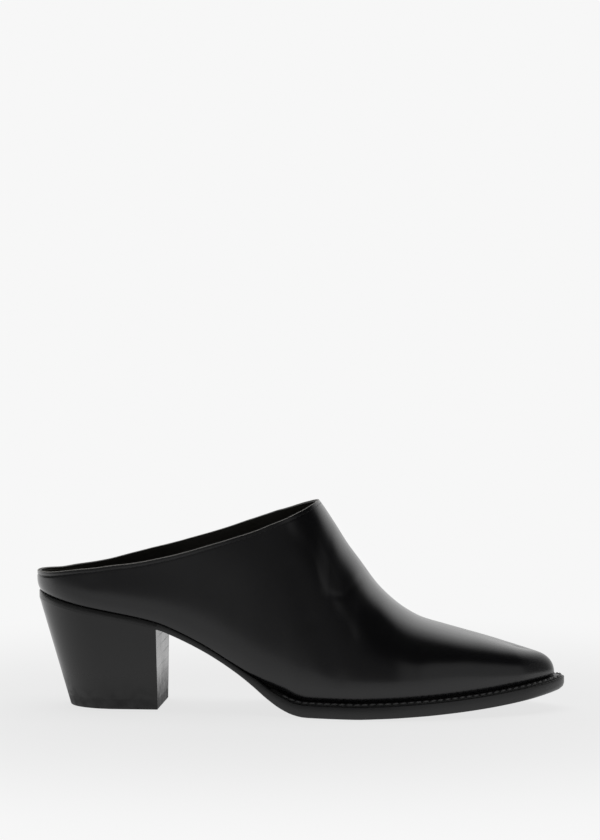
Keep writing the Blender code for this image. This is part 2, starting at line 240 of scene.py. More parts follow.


# %% [markdown]
# ## Making a piece
#
# Each finer piece rides on the shoe, takes its finishes and hides the solid it stands for. One helper does all
# three, so no piece is forgotten, and prints how many faces it has.

# %% Helpers for meshes
def piece_of(name, verts, faces, looks, slot, stands_for=None, sharp=35.0):
    mesh = bpy.data.meshes.new(name)
    mesh.from_pydata([tuple(map(float, v)) for v in verts], [], faces)
    work = bmesh.new()
    work.from_mesh(mesh)
    bmesh.ops.remove_doubles(work, verts=work.verts, dist=1e-6)
    bmesh.ops.recalc_face_normals(work, faces=work.faces)
    work.to_mesh(mesh)
    work.free()
    mesh.shade_smooth()
    mesh.set_sharp_from_angle(angle=math.radians(sharp))
    for look in looks:
        mesh.materials.append(look)
    piece = bpy.data.objects.new(name, mesh)
    bpy.context.scene.collection.objects.link(piece)
    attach(piece, "root")
    if stands_for:
        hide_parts(stands_for)
    print(f"{name}: {len(mesh.polygons)} faces")
    return piece


def skin(rows, closed=False):
    """Quads over a grid of point rows; returns the points and the faces."""
    rows = np.asarray(rows, float)
    count, width = rows.shape[:2]
    faces = []
    for i in range(count if closed else count - 1):
        j = (i + 1) % count
        for k in range(width - 1):
            faces.append((i * width + k, j * width + k, j * width + k + 1, i * width + k + 1))
    return rows.reshape(-1, 3), faces


def join(*parts):
    """Puts several (points, faces) pairs into one."""
    verts = []
    faces = []
    start = 0
    for points, quads in parts:
        verts.append(np.asarray(points, float))
        faces += [tuple(i + start for i in quad) for quad in quads]
        start += len(points)
    return np.concatenate(verts), faces


# %% [markdown]
# ## Shared surface effects
#
# Leather has two scales of detail: a fine grain that catches the light, and broad soft changes in gloss where
# the wax lies thicker. A third effect dulls the paint near the floor, where heels get scuffed. All are node
# groups, so that every finish here uses the same recipe with its own values.

# %% Node groups for the grain and for the broad changes
def group(name, inputs, outputs):
    tree = bpy.data.node_groups.new(name, "ShaderNodeTree")
    for title, value in inputs:
        socket = tree.interface.new_socket(title, in_out="INPUT", socket_type="NodeSocketFloat")
        socket.default_value = value
    for title in outputs:
        tree.interface.new_socket(title, in_out="OUTPUT", socket_type="NodeSocketFloat")
    return tree, tree.nodes.new("NodeGroupInput"), tree.nodes.new("NodeGroupOutput")


def add(tree, kind, **settings):
    node = tree.nodes.new(kind)
    for key, value in settings.items():
        setattr(node, key, value)
    return node


def make_grain():
    """Fine leather grain: small cells with pores between them. Height goes to a Bump node."""
    tree, into, out = group("leather_grain", (("Scale", 1800.0), ("Pores", 0.5)), ("Height", "Tone"))
    place = add(tree, "ShaderNodeTexCoord")
    cells = add(tree, "ShaderNodeTexVoronoi", feature="SMOOTH_F1")
    fine = add(tree, "ShaderNodeTexNoise")
    fine.inputs["Detail"].default_value = 3.0
    double = add(tree, "ShaderNodeMath", operation="MULTIPLY")
    double.inputs[1].default_value = 2.3
    mix = add(tree, "ShaderNodeMix", data_type="FLOAT")
    tree.links.new(place.outputs["Object"], cells.inputs["Vector"])
    tree.links.new(place.outputs["Object"], fine.inputs["Vector"])
    tree.links.new(into.outputs["Scale"], cells.inputs["Scale"])
    tree.links.new(into.outputs["Scale"], double.inputs[0])
    tree.links.new(double.outputs[0], fine.inputs["Scale"])
    tree.links.new(into.outputs["Pores"], mix.inputs[0])
    tree.links.new(cells.outputs["Distance"], mix.inputs[2])
    tree.links.new(fine.outputs[0], mix.inputs[3])
    tree.links.new(mix.outputs[0], out.inputs["Height"])
    tree.links.new(fine.outputs[0], out.inputs["Tone"])
    return tree


def make_clouds():
    """Broad soft changes from low to high, for gloss and tone."""
    tree, into, out = group("soft_clouds", (("Scale", 30.0), ("Low", 0.0), ("High", 1.0)), ("Value",))
    place = add(tree, "ShaderNodeTexCoord")
    noise = add(tree, "ShaderNodeTexNoise")
    noise.inputs["Detail"].default_value = 4.0
    noise.inputs["Roughness"].default_value = 0.45
    spread = add(tree, "ShaderNodeMapRange")
    spread.inputs["From Min"].default_value = 0.3
    spread.inputs["From Max"].default_value = 0.7
    tree.links.new(place.outputs["Object"], noise.inputs["Vector"])
    tree.links.new(into.outputs["Scale"], noise.inputs["Scale"])
    tree.links.new(noise.outputs[0], spread.inputs["Value"])
    tree.links.new(into.outputs["Low"], spread.inputs["To Min"])
    tree.links.new(into.outputs["High"], spread.inputs["To Max"])
    tree.links.new(spread.outputs[0], out.inputs["Value"])
    return tree


def make_wear():
    """A dull zone that grows towards the floor, broken up by fine scuffs."""
    tree, into, out = group("floor_wear", (("Height", 0.022), ("Amount", 0.0)), ("Value",))
    place = add(tree, "ShaderNodeTexCoord")
    split = add(tree, "ShaderNodeSeparateXYZ")
    scuff = add(tree, "ShaderNodeTexNoise")
    scuff.inputs["Scale"].default_value = 260.0
    scuff.inputs["Detail"].default_value = 5.0
    zone = add(tree, "ShaderNodeMapRange", interpolation_type="SMOOTHSTEP")
    zone.inputs["From Min"].default_value = 0.0
    zone.inputs["To Min"].default_value = 1.4
    zone.inputs["To Max"].default_value = 0.0
    first = add(tree, "ShaderNodeMath", operation="MULTIPLY")
    second = add(tree, "ShaderNodeMath", operation="MULTIPLY")
    tree.links.new(place.outputs["Object"], split.inputs[0])
    tree.links.new(place.outputs["Object"], scuff.inputs["Vector"])
    tree.links.new(split.outputs["Z"], zone.inputs["Value"])
    tree.links.new(into.outputs["Height"], zone.inputs["From Max"])
    tree.links.new(zone.outputs[0], first.inputs[0])
    tree.links.new(scuff.outputs[0], first.inputs[1])
    tree.links.new(first.outputs[0], second.inputs[0])
    tree.links.new(into.outputs["Amount"], second.inputs[1])
    tree.links.new(second.outputs[0], out.inputs["Value"])
    return tree


GRAIN = make_grain()
CLOUDS = make_clouds()
WEAR = make_wear()
print("shared groups:", GRAIN.name, CLOUDS.name, WEAR.name)


# %% [markdown]
# ## The finishes
#
# Black leather isn't one colour. The polished calf is nearly mirror-smooth with a waxed coat. The sock and
# lining are matt and a little brown. The edges are inked and burnished, and the heel wears hard gloss paint.

# %% A finish from one colour, a gloss range and a grain
def finish(name, colour, gloss, grain, depth, clouds=28.0, tint=0.15, coat=0.0, coat_rough=0.1, wear=0.0):
    look = bpy.data.materials.new(name)
    look.use_nodes = True
    tree = look.node_tree
    shader = tree.nodes["Principled BSDF"]
    shader.inputs["Coat Weight"].default_value = coat
    shader.inputs["Coat Roughness"].default_value = coat_rough
    texture = add(tree, "ShaderNodeGroup", node_tree=GRAIN)
    texture.inputs["Scale"].default_value = grain
    bump = add(tree, "ShaderNodeBump")
    bump.inputs["Distance"].default_value = depth
    bump.inputs["Strength"].default_value = 1.0
    tree.links.new(texture.outputs["Height"], bump.inputs["Height"])
    tree.links.new(bump.outputs["Normal"], shader.inputs["Normal"])
    sheen = add(tree, "ShaderNodeGroup", node_tree=CLOUDS)
    sheen.inputs["Scale"].default_value = clouds
    sheen.inputs["Low"].default_value = gloss[0]
    sheen.inputs["High"].default_value = gloss[1]
    scuffs = add(tree, "ShaderNodeGroup", node_tree=WEAR)
    scuffs.inputs["Amount"].default_value = wear
    both = add(tree, "ShaderNodeMath", operation="ADD")
    tree.links.new(sheen.outputs["Value"], both.inputs[0])
    tree.links.new(scuffs.outputs["Value"], both.inputs[1])
    tree.links.new(both.outputs[0], shader.inputs["Roughness"])
    shade = add(tree, "ShaderNodeMix", data_type="RGBA")
    shade.inputs[6].default_value = (*[c * (1.0 - tint) for c in colour], 1.0)
    shade.inputs[7].default_value = (*[c * (1.0 + tint) for c in colour], 1.0)
    tree.links.new(texture.outputs["Tone"], shade.inputs[0])
    tree.links.new(shade.outputs[2], shader.inputs["Base Color"])
    return look


calf = finish(
    "polished_calf", (0.0082, 0.0082, 0.0090), (0.20, 0.27), 1500.0, 0.000012, coat=0.25, coat_rough=0.14
)
lining = finish("lining_leather", (0.019, 0.0175, 0.012), (0.55, 0.68), 1100.0, 0.00010, tint=0.45)
sock = finish("sock_leather", (0.016, 0.015, 0.012), (0.48, 0.60), 900.0, 0.00008, tint=0.35)
edge_paint = finish("collar_edge_paint", (0.010, 0.010, 0.009), (0.40, 0.50), 2400.0, 0.00002)
# The raw edge's pale colour is partly its own tone and partly a painted highlight along the collar.
raw_edge_and_painted_highlight = finish("raw_calf_edge_and_painted_highlight", (0.42, 0.41, 0.39), (0.55, 0.70), 3000.0, 0.00006, tint=0.3)
ink = finish("sole_edge_ink", (0.016, 0.016, 0.0165), (0.30, 0.40), 1600.0, 0.00004, tint=0.3)
lacquer = finish(
    "heel_gloss_paint", (0.012, 0.012, 0.012), (0.18, 0.26), 700.0, 0.000015, clouds=60.0, wear=0.5
)
rubber = finish("lift_rubber", (0.015, 0.015, 0.015), (0.34, 0.44), 2000.0, 0.00003, tint=0.3, wear=0.4)
thread = finish("waxed_thread", (0.060, 0.060, 0.060), (0.26, 0.34), 5200.0, 0.00004, tint=0.4)
hem_thread = finish("black_hem_thread", (0.006, 0.006, 0.006), (0.40, 0.50), 5200.0, 0.00003, tint=0.4)
print("finishes made:", len(bpy.data.materials))


# %% [markdown]
# ## The upper's skin
#
# The real upper is one piece of calf pulled over a last. It could be sculpted, but a loft from sections keeps
# the last's true shape. Each wall starts on the sole, rises along a rounded section and ends at the collar or,
# in front of the throat, on the top line. The walls fan out round the heel and the toe.

# %% Wall curves, evenly spaced along their own length
def ridge_x(along):
    a = along
    if along > RIDGE_FADE:
        reach = 1.0 - RIDGE_FADE
        part = (along - RIDGE_FADE) / reach
        a = RIDGE_FADE + reach * part - (1.0 - RIDGE_END) * part * part
    if along < HEEL_FADE:
        part = (HEEL_FADE - along) / HEEL_FADE
        a = HEEL_FADE - HEEL_FADE * part + HEEL_CENTRE * part * part
    return BACK + LENGTH * a


SLOPE_STEP = 0.0005


def top_line(x):
    """Height of the upper's middle line in front of the throat."""
    return float(platform(x) + INSTEP_HEIGHT * RIDGE.at("height", share(x)))


def wall_curve(side, along, samples=160):
    """One wall of the upper as a dense curve from the sole upwards."""
    turn = turn_of(along)
    edge = edge_points(side, turn)
    foot = edge + inward(side, turn) * ledge(edge[0])
    rx = ridge_x(along)
    top = np.array([rx, float(line_y(rx))])
    base = float(platform(foot[0]))
    summit = top_line(rx) - base
    side_power = float(RIDGE.at("side_power", share(rx)))
    top_power = float(RIDGE.at("top_power", share(rx)))
    end = math.pi / 2.0
    if along < THROAT:
        reach = INSTEP_HEIGHT * float(COLLAR.at(side_name(side), along)) / summit
        end = math.asin(min(1.0, reach) ** (top_power / 2.0))
    angle = np.linspace(0.0, 1.0, samples) ** 1.6 * end
    height = summit * np.sin(angle) ** (2.0 / top_power)
    spread = np.clip(np.cos(angle), 0.0, 1.0) ** (2.0 / side_power)
    out = (foot - top) / np.linalg.norm(foot - top)
    part = height / (SWELL_HEIGHT * float(SWELL.at("height", along)))
    swell = SIDE_SWELL * float(SWELL.at("bulge", along)) * part * np.exp(1.0 - part)
    swell = swell * np.minimum(1.0, spread * 2.0)
    flat = top + (foot - top) * spread[:, None] + out * swell[:, None]
    part = min(max((along - RIDGE_FADE) / LEAN_RAMP, 0.0), 1.0)
    lean = (top_line(rx + SLOPE_STEP) - top_line(rx - SLOPE_STEP)) / (2.0 * SLOPE_STEP)
    height = height + lean * (flat[:, 0] - rx) * (1.0 - spread) ** 2 * part * part * (3.0 - 2.0 * part)
    return np.column_stack([flat, base + height])


REAR, FRONT, ROWS = 110, 120, 58
HEM = np.array([3.6, 3.0, 2.6, 2.3, 2.05, 1.8, 1.55, 1.3, 1.0, 0.7, 0.4, 0.2, 0.0]) * 0.001


def even_wall(side, along):
    """The same wall with even rows, and close rows near its top for the hem."""
    curve = wall_curve(side, along)
    run = np.concatenate([[0.0], np.cumsum(np.linalg.norm(np.diff(curve, axis=0), axis=1))])
    hem = min(HEM[0], run[-1] * 0.5) / HEM[0]
    low = np.linspace(0.0, run[-1] - HEM[0] * hem, ROWS)
    places = np.concatenate([low, run[-1] - HEM[1:] * hem])
    return np.column_stack([np.interp(places, run, curve[:, i]) for i in range(3)])


rear = THROAT * (1.0 - np.cos(np.linspace(0.0, math.pi, REAR + 1))) / 2.0
front = THROAT + (1.0 - THROAT) * (1.0 - np.cos(np.linspace(0.0, math.pi, FRONT + 1))) / 2.0
places = np.concatenate([rear, front[1:]])
walls = {side: np.array([even_wall(side, a) for a in places]) for side in (LATERAL, MEDIAL)}
print("wall grid on each side:", walls[LATERAL].shape[:2])

# %% [markdown]
# ## The hem groove
#
# The collar is stitched two millimetres below its edge, and the thread pulls the leather in a little, most at
# the back. The groove is a soft trough at a set distance from the edge, pressed in along the skin's normals.
# The soft creases of the vamp are troughs too, each from a start and an end in the shoe's own sizes.

# %% Press the hem groove and the small folds at the back
STITCH_LINE = 0.0019
collar_line = np.concatenate([walls[LATERAL][:REAR + 1, -1], walls[MEDIAL][REAR::-1, -1]])


def grid_normals(grid, side):
    across = np.gradient(grid, axis=0)
    upward = np.gradient(grid, axis=1)
    normal = np.cross(across, upward) * -side
    size = np.linalg.norm(normal, axis=-1, keepdims=True)
    return normal / np.maximum(size, 1e-12)


# Creases on the outer side: start and end as (along the shoe, height) in metres, half width, depth
CREASES = (
    ((-0.0010, 0.0700), (0.0080, 0.0470), 0.0042, 0.00036),
    ((0.0100, 0.0430), (0.0220, 0.0200), 0.0055, 0.00026),
    ((0.0136, 0.0588), (0.0234, 0.0575), 0.0010, 0.00012),
    ((0.0260, 0.0600), (0.0315, 0.0660), 0.0012, 0.00016),
    ((0.0330, 0.0520), (0.0440, 0.0400), 0.0030, 0.00012),
)


def near_line(x, z, start, end):
    """Distance in the side view to a straight line between two points."""
    start, end = np.array(start), np.array(end)
    way = end - start
    part = np.clip(((x - start[0]) * way[0] + (z - start[1]) * way[1]) / (way @ way), 0.0, 1.0)
    return np.hypot(x - start[0] - part * way[0], z - start[1] - part * way[1])


def relief(grid, side):
    """How far each point is pressed in, in metres."""
    flat = grid.reshape(-1, 3)
    distance = np.full(len(flat), 1.0)
    for point in collar_line:
        distance = np.minimum(distance, np.linalg.norm(flat - point, axis=1))
    along = share(flat[:, 0])
    deep = 0.00003 + 0.00026 * np.exp(-(along / 0.06) ** 2)
    groove = deep * np.exp(-((distance - STITCH_LINE) / 0.00042) ** 2)
    foot = flat[:, 2] - platform(flat[:, 0])
    fold = np.zeros(len(flat))
    if side == LATERAL:
        for centre, lean, depth in ((0.100, 0.0, 0.00008), (0.113, 0.2, 0.00012), (0.127, 0.5, 0.00008)):
            band = np.exp(-((along - centre - lean * (foot - 0.012)) / 0.0035) ** 2)
            fold += depth * band * np.exp(-((foot - 0.012) / 0.004) ** 2)
        for start, end, width, depth in CREASES:
            fold += depth * np.exp(-(near_line(flat[:, 0], flat[:, 2], start, end) / width) ** 2)
    return (groove + fold).reshape(grid.shape[:2])


for side in (LATERAL, MEDIAL):
    normals = grid_normals(walls[side], side)
    pressed = relief(walls[side], side)[..., None] * normals
    pressed[0] = 0.0
    pressed[-1] = 0.0
    pressed[REAR:, -1] = 0.0
    walls[side] = walls[side] - pressed
print(f"deepest press {np.abs(pressed).max() * 1000:.2f} mm")

# %% [markdown]
# ## Thickness and a rounded edge
#
# Calf and lining together are 1.8 mm thick. Solidify gives that thickness inwards, and its rim and inside take
# their own finishes: painted edge and lining. A small Bevel rounds the cut edge so that it catches the light.

# %% The upper as one hollow shell
outer = piece_of(
    "upper_leather",
    *join(skin(walls[LATERAL]), skin(walls[MEDIAL])),
    (calf, lining, edge_paint),
    "upper_leather",
    "upper",
    sharp=60.0,
)
thick = outer.modifiers.new("leather_and_lining", "SOLIDIFY")
thick.thickness = WALL
thick.offset = -1.0
thick.use_even_offset = True
thick.material_offset = 1
thick.material_offset_rim = 2
soften = outer.modifiers.new("rounded_edge", "BEVEL")
soften.width = 0.00055
soften.segments = 3
soften.limit_method = "ANGLE"
soften.angle_limit = math.radians(60.0)

# %% [markdown]
# ## Stitches
#
# A stitch is a short bead of thread that sinks at both ends. One small rounded form is laid along a path again
# and again, turned to follow it. All the beads of a seam are one mesh, which is light and easy to handle.


# %% Lay beads of thread along a path
def bead(length, width, height, around=8, rings=7):
    """A lens-shaped bead along X, standing in +Z."""
    points = []
    for i in range(rings + 1):
        u = i / rings
        size = math.sin(math.pi * min(max(u, 0.03), 0.97)) ** 0.6
        for k in range(around):
            angle = 2.0 * math.pi * k / around
            across = width / 2.0 * size * math.cos(angle)
            up = height * size * math.sin(angle)
            points.append(((u - 0.5) * length, across, up))
    faces = []
    for i in range(rings):
        for k in range(around):
            faces.append((i * around + k, i * around + (k + 1) % around,
                          (i + 1) * around + (k + 1) % around, (i + 1) * around + k))
    faces.append(tuple(range(around)))
    faces.append(tuple(range(rings * around, (rings + 1) * around)))
    return np.array(points), faces


def seam(name, path, normals, pitch, form, sink=0.0, twist=0.0):
    """Beads at a steady pitch along a path, each standing along the path's normal."""
    run = np.concatenate([[0.0], np.cumsum(np.linalg.norm(np.diff(path, axis=0), axis=1))])
    count = int(run[-1] / pitch)
    parts = []
    for i in range(count):
        place = (i + 0.5) * run[-1] / count
        spot = np.array([np.interp(place, run, path[:, k]) for k in range(3)])
        ahead = np.array([np.interp(place + pitch * 0.3, run, path[:, k]) for k in range(3)])
        behind = np.array([np.interp(place - pitch * 0.3, run, path[:, k]) for k in range(3)])
        up = np.array([np.interp(place, run, normals[:, k]) for k in range(3)])
        forward = (ahead - behind) / np.linalg.norm(ahead - behind)
        up = up - forward * float(up @ forward)
        up = up / np.linalg.norm(up)
        over = np.cross(up, forward)
        forward = forward * math.cos(twist) + over * math.sin(twist)
        over = np.cross(up, forward)
        points = form[0] @ np.array([forward, over, up]) + spot - up * sink
        parts.append((points, form[1]))
    print(f"{name}: {count} stitches")
    return join(*parts)


skin_points, skin_faces = join(skin(walls[LATERAL]), skin(walls[MEDIAL]))
surface = BVHTree.FromPolygons([tuple(point) for point in skin_points], skin_faces)
tangent = np.gradient(collar_line, axis=0)
centre = collar_line.mean(axis=0)
stitch_path = []
stitch_up = []
for point, along_edge in zip(collar_line, tangent):
    near, normal, _, _ = surface.find_nearest(Vector(point))
    normal = np.array(normal)
    if normal @ (point - centre) < 0.0:
        normal = -normal
    down = np.cross(along_edge / max(np.linalg.norm(along_edge), 1e-9), normal)
    if down[2] > 0.0:
        down = -down
    spot, _, _, _ = surface.find_nearest(Vector(point + down * STITCH_LINE))
    stitch_path.append(np.array(spot))
    stitch_up.append(normal)
stitch_path = np.array(stitch_path)
stitch_up = np.array(stitch_up)
piece_of(
    "hem_stitches",
    *seam("hem_stitches", stitch_path, stitch_up, 0.0027, bead(0.0021, 0.00042, 0.00014), sink=0.00004),
    (hem_thread,),
    "upper_leather",
)

# %% [markdown]
# ## The raw edge and its painted highlight
#
# The calf is cut, not folded, at the collar, and its pale core shows as a hairline along the edge. It could be a
# painted line, but a thin rounded strip on the outer corner catches light as the real one does. The strip's pale
# colour is partly the raw core's own tone and partly a painted highlight: it is set lighter than the core to
# stand in for the shine along the edge.

# %% A thin strip on the collar's outer corner
loop = np.arange(len(collar_line))
loop = loop[np.linalg.norm(collar_line - np.roll(collar_line, 1, axis=0), axis=1) > 1e-5]
corner = collar_line[loop]
face_out = stitch_up[loop]
way = np.roll(corner, -1, axis=0) - np.roll(corner, 1, axis=0)
way = way / np.linalg.norm(way, axis=1, keepdims=True)
upward = np.cross(way, face_out)
upward = upward * np.sign(upward[:, 2:3])
rounds = np.linspace(0.0, 2.0 * math.pi, 11)
edge_rows = [
    corner - face_out * (0.00034 - 0.00036 * math.cos(turn)) + upward * (0.00030 * math.sin(turn) - 0.00010)
    for turn in rounds
]
edge_rows = np.array(edge_rows).transpose(1, 0, 2)
# This strip's pale colour is partly the raw core's tone and partly a painted highlight.
piece_of("raw_collar_edge_and_painted_highlight", *skin(edge_rows, closed=True), (raw_edge_and_painted_highlight,), "upper_leather", sharp=80.0)

# %% [markdown]
# ## The outsole
#
# The sole is a plate with the last's outline. Its edge is trimmed square, with the corners just broken, and it
# is thin and springy at the waist. Rings of points, each inset a little and set at a height, give that profile.

# %% A plate from rings of points
STATIONS = 200


def ring(inset, height):
    """Both sides of one ring, from the back to the toe, as two rows of points."""
    turns = np.linspace(0.0, 1.0, STATIONS + 1)
    rows = []
    for side in (LATERAL, MEDIAL):
        edge = edge_points(side, turns)
        flat = edge + inward(side, turns) * (inset(edge[:, 0]))[:, None]
        flat[0, 1] = line_y(flat[0, 0])
        flat[-1, 1] = line_y(flat[-1, 0])
        rows.append(np.column_stack([flat, height(flat[:, 0])]))
    return rows


def plate(levels, dish=0.0, across=1):
    """Closes a stack of rings into a solid; the top can be dished."""
    rings = [ring(inset, height) for inset, height in levels]
    parts = []
    for side in (0, 1):
        parts.append(skin(np.array([r[side] for r in rings])))
    for number in (0, -1):
        left, right = rings[number]
        lines = []
        for i in range(across + 1):
            part = i / across
            line = left * (1.0 - part) + right * part
            if number == -1:
                line[:, 2] -= dish * 4.0 * part * (1.0 - part)
            lines.append(line)
        parts.append(skin(np.array(lines)))
    return join(*parts)


def fixed(value):
    return lambda x: np.full(np.shape(x), value)


def past_heel(value):
    """The broken corner ends where the heel begins, because both are trimmed as one."""
    start = BACK + HEEL_LENGTH
    return lambda x: value * np.clip((x - start) / 0.002, 0.0, 1.0)


def worn(x):
    """The lower corner is rounder at the toe's tip, where the sole rolls off the floor."""
    part = np.clip((share(x) - 0.90) / 0.10, 0.0, 1.0)
    return 1.0 + 3.4 * part * part * (3.0 - 2.0 * part)


SOLE_LEVELS = [
    (lambda x: past_heel(0.0009)(x) * worn(x), underside),
    (lambda x: past_heel(0.0004)(x) * worn(x), lambda x: underside(x) + 0.00007 * worn(x)),
    (lambda x: past_heel(0.00012)(x) * worn(x), lambda x: underside(x) + 0.00028 * worn(x)),
    (fixed(0.0), lambda x: underside(x) + 0.0006 * worn(x)),
    (fixed(0.0), lambda x: sole_top(x) - 0.0005),
    (fixed(0.00010), lambda x: sole_top(x) - 0.00022),
    (fixed(0.00030), lambda x: sole_top(x) - 0.00006),
    (fixed(0.0008), sole_top),
]
outsole = piece_of("outsole_leather", *plate(SOLE_LEVELS), (ink, lacquer), "sole_edge", "outsole", sharp=50.0)
for face in outsole.data.polygons:
    face.material_index = int(face.center.x < BACK + HEEL_LENGTH and abs(face.normal.z) < 0.6)

# %% [markdown]
# ## The welt and its stitches
#
# Round the forepart a thin strip joins the upper to the sole, and its stitches are the shoe's one bright
# detail. They lie in a shallow channel near the edge. The strip is a profile swept round the toe.

# %% The welt strip with its stitch channel
CHANNEL = WELT_SETBACK + 0.00085
first = float(turn_of(WELT_START))
turns = np.linspace(first, 1.0, 170)
strip = []
for profile in (
    (WELT_SETBACK + 0.00005, 0.0), (WELT_SETBACK, 0.0002), (WELT_SETBACK + 0.00008, 0.00045),
    (WELT_SETBACK + 0.0003, 0.0006), (CHANNEL, 0.00066), (CHANNEL + 0.0006, 0.0008), (CHANNEL + 0.0012, 0.0011),
    (CHANNEL + 0.0017, 0.0012), (None, 0.0012), (None, 0.0),
):
    line = []
    for side, path in ((LATERAL, turns), (MEDIAL, turns[-2::-1])):
        edge = edge_points(side, path)
        into = np.full(len(path), profile[0] or 0.0)
        if profile[0] is None:
            into = ledge(edge[:, 0]) + WALL + INSOLE_SLACK - GAP
        flat = edge + inward(side, path) * into[:, None]
        line.append(np.column_stack([flat, sole_top(flat[:, 0]) + 0.00002 + profile[1]]))
    strip.append(np.concatenate(line))
strip = np.array(strip)
ends = [(strip[:, i], [tuple(range(len(strip)))]) for i in (0, -1)]
piece_of("welt_strip", *join(skin(strip, closed=True), *ends), (ink,), "sole_edge", "welt", sharp=50.0)

# %% Stitches in the channel
sewn = np.linspace(float(turn_of(0.475)), 1.0, 300)
path = []
for side, path_turns in ((LATERAL, sewn), (MEDIAL, sewn[-2::-1])):
    flat = inset_points(side, path_turns, CHANNEL)
    path.append(np.column_stack([flat, sole_top(flat[:, 0]) + 0.00066]))
path = np.concatenate(path)
upright = np.tile([0.0, 0.0, 1.0], (len(path), 1))
piece_of(
    "welt_stitches",
    *seam("welt_stitches", path, upright, 0.00365, bead(0.0033, 0.00105, 0.00072), twist=0.16),
    (thread,),
    "sole_edge",
)

# %% [markdown]
# ## The sock
#
# Inside lies a padded sock over the insole board. It is a plate too, inset to the upper's inner face, with a
# softly rolled edge and a slight dish where the foot lies.


# %% The sock on its board
def inner(x):
    """How far the sock's edge lies inside the sole's outline."""
    return ledge(x) + WALL + INSOLE_SLACK


SOCK_LEVELS = [
    (inner, lambda x: sole_top(x) + GAP),
    (inner, lambda x: platform(x) + INSOLE_THICKNESS - 0.0012),
    (lambda x: inner(x) + 0.0003, lambda x: platform(x) + INSOLE_THICKNESS - 0.0005),
    (lambda x: inner(x) + 0.0009, lambda x: platform(x) + INSOLE_THICKNESS - 0.0001),
    (lambda x: inner(x) + 0.0018, lambda x: platform(x) + INSOLE_THICKNESS),
]
piece_of("sock_pad", *plate(SOCK_LEVELS, 0.0008, 12), (sock,), "sock_leather", "insole", sharp=60.0)

# %% [markdown]
# ## The heel
#
# The heel is a stack of leather layers, rasped to shape and painted. The paint hides the layers at the sides,
# but on the breast, the flat front face, their joints still show as fine lines. They are shallow grooves here.


# %% The stacked heel and its rubber lift
def heel_outline(side, place):
    """The seat's outline and the base's outline, point for point."""
    along = HEEL_LENGTH / LENGTH * (1.0 - np.cos(math.pi / 2.0 * place))
    seat = edge_points(side, turn_of(along))
    forward = (seat[..., 0] - BACK) / HEEL_LENGTH * (HEEL_LENGTH - HEEL_RAKE)
    half = HEEL_BASE_WIDTH / 2.0 * round_end(forward, HEEL_BASE_ROUND)
    base = np.stack([BACK + HEEL_RAKE + forward, AXIS_Y + side * half], axis=-1)
    return seat, base


LAYER = TOP_LIFT
HEEL_PLACES = np.linspace(0.0, 1.0, 61)


def heel_slice(low, high_gap, rows, inset):
    """Walls, breast and caps of the heel between a height and the seat, or between two heights."""
    walls_of = []
    for side in (LATERAL, MEDIAL):
        seat, base = heel_outline(side, HEEL_PLACES)
        seat_z = underside(seat[:, 0])
        high = seat_z - high_gap if high_gap is not None else np.full(len(seat), TOP_LIFT)
        lines = []
        for part in rows:
            z = low + (high - low) * part
            level = 1.0 - z / seat_z
            flat = seat + (base - seat) * level[:, None]
            trim = inset(part)
            middle = np.array([flat[-1, 0] - 0.02, AXIS_Y])
            flat = flat + (middle - flat) / np.linalg.norm(middle - flat, axis=1, keepdims=True) * trim
            lines.append(np.column_stack([flat, z]))
        walls_of.append(np.array(lines))
    left, right = walls_of
    right[:, 0] = left[:, 0]
    parts = [skin(left), skin(right)]
    across = np.linspace(0.0, 1.0, 25)
    front_face = np.array([left[:, -1] * (1.0 - t) + right[:, -1] * t for t in across])
    rim = np.minimum(1.0, np.minimum(across, 1.0 - across) / 0.06)
    if high_gap is not None:
        for number in range(2, 9):
            length = 0.35 + 0.65 * np.exp(-((across - 0.62 + 0.09 * math.sin(number * 2.1)) / 0.24) ** 2)
            height = front_face[..., 2] - (0.0005 * across + 0.0001 * np.sin(across * 9.0 + number))[:, None]
            press = 0.00034 * np.exp(-((height - LAYER * number) / 0.00034) ** 2)
            front_face[..., 0] -= press * (rim * length)[:, None]
    parts.append(skin(front_face))
    for row in (0, -1):
        parts.append(skin(np.array([left[row], right[row]])))
    return join(*parts)


fine_rows = np.linspace(0.0, 1.0, 260)
piece_of(
    "heel_stack",
    *heel_slice(TOP_LIFT, 0.0, fine_rows, lambda part: 0.0),
    (lacquer,),
    "heel_lacquer",
    "heel",
    sharp=40.0,
)
lift_rows = np.array([0.0, 0.04, 0.09, 0.5, 1.0])
piece_of(
    "rubber_lift",
    *heel_slice(0.0, None, lift_rows, lambda part: 0.0003 * max(0.0, 1.0 - part / 0.09) ** 2),
    (rubber,),
    "top_rubber",
    "top_lift",
    sharp=40.0,
)

# %% [markdown]
# ## Floor, light and camera
#
# The shoe stands on a plain white sweep. Black gloss shows only what it reflects, so the light matters more
# than the paint. It is white behind and below, with a soft box at the right and a dark front, which keeps the
# flank deep black and draws bright rims along the toe and the instep.

# %% A pale floor that melts into the background
WHITE = 0.93
FLOOR_IN_FRONT = 0.62
FLOOR_RADIUS = 6.0
floor_mesh = bpy.data.meshes.new("floor")
floor_work = bmesh.new()
bmesh.ops.create_circle(floor_work, cap_ends=True, segments=96, radius=FLOOR_RADIUS)
floor_work.to_mesh(floor_mesh)
floor_work.free()
floor = bpy.data.objects.new("floor", floor_mesh)
floor.location = (0.0, 0.0, -0.0002)
bpy.context.scene.collection.objects.link(floor)
paper = bpy.data.materials.new("white_paper")
paper.use_nodes = True
tree = paper.node_tree
matt = tree.nodes["Principled BSDF"]
matt.inputs["Base Color"].default_value = (0.90, 0.90, 0.90, 1.0)
matt.inputs["Roughness"].default_value = 0.9
glow = add(tree, "ShaderNodeEmission")
glow.inputs["Color"].default_value = (WHITE, WHITE, WHITE, 1.0)
blend = add(tree, "ShaderNodeMixShader")
place = add(tree, "ShaderNodeTexCoord")
reach = add(tree, "ShaderNodeVectorMath", operation="LENGTH")
